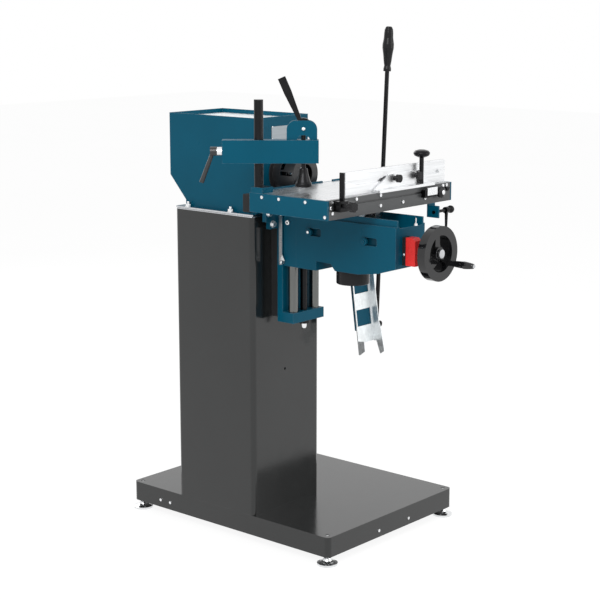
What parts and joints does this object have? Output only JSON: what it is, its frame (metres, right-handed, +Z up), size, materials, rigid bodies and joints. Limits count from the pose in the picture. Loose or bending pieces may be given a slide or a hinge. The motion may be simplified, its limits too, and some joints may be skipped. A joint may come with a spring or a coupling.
{
  "type": "horizontal slot mortiser",
  "caption": "Horizontal slot mortiser: column with motor head and two-jaw chuck, lifting knee with handwheel, two-way lever table, fence, stop and cam work clamp.",
  "frame": {"origin": "on the floor, below the centre of the base tray, at the feet's underside", "axes": "+Z up, +X to the operator's right, +Y from the operator to the column's back; the operator stands at -Y"},
  "size_m": [0.841, 1.1549, 1.5023],
  "materials": {
    "gloss_black_paint": "gloss",
    "petrol_paint": "gloss",
    "zinc_plate": "satin",
    "chrome_foot": "gloss",
    "polished_steel": "satin",
    "ground_steel": "satin",
    "motor_casting": "matt",
    "black_sheet": "satin",
    "black_oxide": "satin",
    "rail_paint": "satin",
    "fence_aluminium": "satin",
    "black_plastic": "gloss",
    "switch_black": "matt",
    "flap_red": "gloss",
    "button_green": "gloss",
    "button_red": "gloss",
    "galvanised_sheet": "satin",
    "gear_steel": "satin"
  },
  "bodies": {
    "frame": {"base_tray": "gloss_black_paint", "levelling_feet": "chrome_foot", "frame_screws": "zinc_plate", "column": "gloss_black_paint", "motor_plate": "petrol_paint", "motor_housing": "petrol_paint", "housing_lid": "petrol_paint", "motor_frame": "motor_casting", "spindle_bearings": "polished_steel", "chuck_guard": "black_sheet", "slide_plate": "petrol_paint", "slide_spacer": "black_sheet", "slide_top_bracket": "ground_steel", "guide_columns": "polished_steel", "lift_screw": "polished_steel", "height_scale": "zinc_plate"},
    "spindle": {"rotor_shaft": "polished_steel", "cooling_fan": "switch_black", "chuck_body": "polished_steel"},
    "jaw_left": {"chuck_jaw_left": "polished_steel"},
    "jaw_right": {"chuck_jaw_right": "polished_steel"},
    "knee": {"knee_box": "petrol_paint", "knee_carrier": "petrol_paint", "knee_bolts": "zinc_plate", "height_pointer": "zinc_plate", "knee_cap": "black_plastic", "depth_rods": "polished_steel", "lever_hanger": "galvanised_sheet", "hanger_arm": "petrol_paint", "switch_base": "switch_black"},
    "flap": {"switch_flap": "flap_red"},
    "start_key": {"start_button": "button_green"},
    "stop_key": {"stop_button": "button_red"},
    "wheel": {"handwheel": "black_plastic", "handwheel_shaft": "polished_steel"},
    "grip": {"crank_grip": "black_plastic"},
    "nut": {"lift_nut": "gear_steel"},
    "carriage": {"carriage": "ground_steel"},
    "table": {"table_top": "ground_steel", "table_plates": "petrol_paint", "front_rail": "rail_paint", "cross_rods": "polished_steel", "table_screws": "zinc_plate", "clamp_post": "black_oxide"},
    "sleeve": {"arm_sleeve": "polished_steel"},
    "arm": {"clamp_arm": "petrol_paint"},
    "arm_lock": {"arm_lock_lever": "black_sheet"},
    "cam": {"cam_lever": "black_oxide"},
    "presser": {"presser": "black_oxide"},
    "fence_base": {"fence_bracket": "fence_aluminium"},
    "fence": {"fence": "fence_aluminium"},
    "knob_left": {"fence_knob_left": "black_plastic"},
    "knob_right": {"fence_knob_right": "black_plastic"},
    "fence_clamp": {"fence_screw": "black_oxide"},
    "stop": {"stop_bar": "black_oxide"},
    "stop_clamp": {"stop_knob": "black_plastic"},
    "gimbal": {"lever_gimbal": "black_oxide"},
    "lever": {"lever_rod": "black_oxide", "lever_grip": "black_plastic"},
    "table_lock": {"table_lock_lever": "black_oxide"}
  },
  "joints": [
    {"name": "spindle_spin", "type": "hinge", "parent": "frame", "child": "spindle", "pos_m": [-0.16, -0.15, 1.091], "axis": [0, -1, 0], "continuous": true},
    {"name": "jaw_left_close", "type": "slide", "parent": "spindle", "child": "jaw_left", "axis": [1, 0, 0], "range_m": [0, 0.0042]},
    {"name": "jaw_right_close", "type": "slide", "parent": "spindle", "child": "jaw_right", "axis": [-1, 0, 0], "range_m": [0, 0.00421]},
    {"name": "knee_lift", "type": "slide", "parent": "frame", "child": "knee", "axis": [0, 0, 1], "range_m": [-0.11, 0.015]},
    {"name": "handwheel_turn", "type": "hinge", "parent": "knee", "child": "wheel", "pos_m": [-0.16, -0.62, 0.915], "axis": [0, 1, 0], "range_deg": [-4951, 676]},
    {"name": "crank_grip_turn", "type": "hinge", "parent": "wheel", "child": "grip", "pos_m": [-0.10968, -0.7, 0.88232], "axis": [0, 1, 0], "continuous": true},
    {"name": "lift_nut_turn", "type": "hinge", "parent": "knee", "child": "nut", "pos_m": [-0.16, -0.187, 0.93], "axis": [0, 0, 1], "range_deg": [-4951, 676]},
    {"name": "switch_flap_lift", "type": "hinge", "parent": "knee", "child": "flap", "pos_m": [-0.182, -0.5803, 0.9541], "axis": [-1, 0, 0], "range_deg": [0, 22]},
    {"name": "start_press", "type": "slide", "parent": "knee", "child": "start_key", "axis": [0, 1, 0], "range_m": [0, 0.004], "stiffness_N_per_m": 300},
    {"name": "stop_press", "type": "slide", "parent": "knee", "child": "stop_key", "axis": [0, 1, 0], "range_m": [0, 0.004], "stiffness_N_per_m": 300},
    {"name": "carriage_depth", "type": "slide", "parent": "knee", "child": "carriage", "axis": [0, -1, 0], "range_m": [0, 0.13]},
    {"name": "table_traverse", "type": "slide", "parent": "carriage", "child": "table", "axis": [1, 0, 0], "range_m": [-0.07, 0.07]},
    {"name": "gimbal_tilt", "type": "hinge", "parent": "knee", "child": "gimbal", "pos_m": [0.185, -0.186, 0.6], "axis": [1, 0, 0], "range_deg": [-0.1, 17.4]},
    {"name": "lever_tilt", "type": "hinge", "parent": "gimbal", "child": "lever", "pos_m": [0.185, -0.186, 0.6], "axis": [0, 1, 0], "range_deg": [-9.4, 9.4]},
    {"name": "arm_height", "type": "slide", "parent": "table", "child": "sleeve", "axis": [0, 0, 1], "range_m": [0, 0.09]},
    {"name": "arm_swivel", "type": "hinge", "parent": "sleeve", "child": "arm", "pos_m": [-0.4235, -0.2545, 1.18], "axis": [0, 0, 1], "range_deg": [-25, 45]},
    {"name": "arm_lock_turn", "type": "hinge", "parent": "arm", "child": "arm_lock", "pos_m": [-0.49552, -0.17136, 1.182], "axis": [0.6547, -0.7559, 0], "range_deg": [-60, 60]},
    {"name": "cam_turn", "type": "hinge", "parent": "arm", "child": "cam", "pos_m": [-0.34493, -0.3452, 1.243], "axis": [0.7559, 0.6547, 0], "range_deg": [0, 110]},
    {"name": "presser_down", "type": "slide", "parent": "arm", "child": "presser", "axis": [0, 0, -1], "range_m": [0, 0.0088]},
    {"name": "fence_base_slide", "type": "slide", "parent": "table", "child": "fence_base", "axis": [1, 0, 0], "range_m": [-0.04, 0.05]},
    {"name": "fence_slide", "type": "slide", "parent": "fence_base", "child": "fence", "axis": [1, 0, 0], "range_m": [-0.05, 0.05]},
    {"name": "fence_knob_left_turn", "type": "hinge", "parent": "fence_base", "child": "knob_left", "pos_m": [-0.133, -0.5, 1.102], "axis": [0, -1, 0], "range_deg": [0, 360]},
    {"name": "fence_knob_right_turn", "type": "hinge", "parent": "fence_base", "child": "knob_right", "pos_m": [-0.039, -0.5, 1.102], "axis": [0, -1, 0], "range_deg": [0, 360]},
    {"name": "fence_screw_turn", "type": "hinge", "parent": "fence_base", "child": "fence_clamp", "pos_m": [-0.02, -0.4995, 1.1], "axis": [0, 0, 1], "range_deg": [0, 720]},
    {"name": "stop_slide", "type": "slide", "parent": "table", "child": "stop", "axis": [1, 0, 0], "range_m": [0, 0.055]},
    {"name": "stop_knob_turn", "type": "hinge", "parent": "stop", "child": "stop_clamp", "pos_m": [-0.4, -0.55, 1.056], "axis": [0, -1, 0], "range_deg": [0, 360]},
    {"name": "table_lock_turn", "type": "hinge", "parent": "table", "child": "table_lock", "pos_m": [0.05, -0.525, 0.996], "axis": [1, 0, 0], "range_deg": [-50, 50]}
  ],
  "couplings": [
    {"joint": "handwheel_turn", "follows": "knee_lift", "rad_per_m": 785.4},
    {"joint": "lift_nut_turn", "follows": "knee_lift", "rad_per_m": 785.4},
    {"joint": "jaw_right_close", "follows": "jaw_left_close", "ratio": 1},
    {"joint": "gimbal_tilt", "follows": "carriage_depth", "rad_per_m": 2.3148},
    {"joint": "lever_tilt", "follows": "table_traverse", "rad_per_m": 2.3148},
    {"joint": "presser_down", "follows": "cam_turn", "m_per_rad": 0.00455}
  ]
}
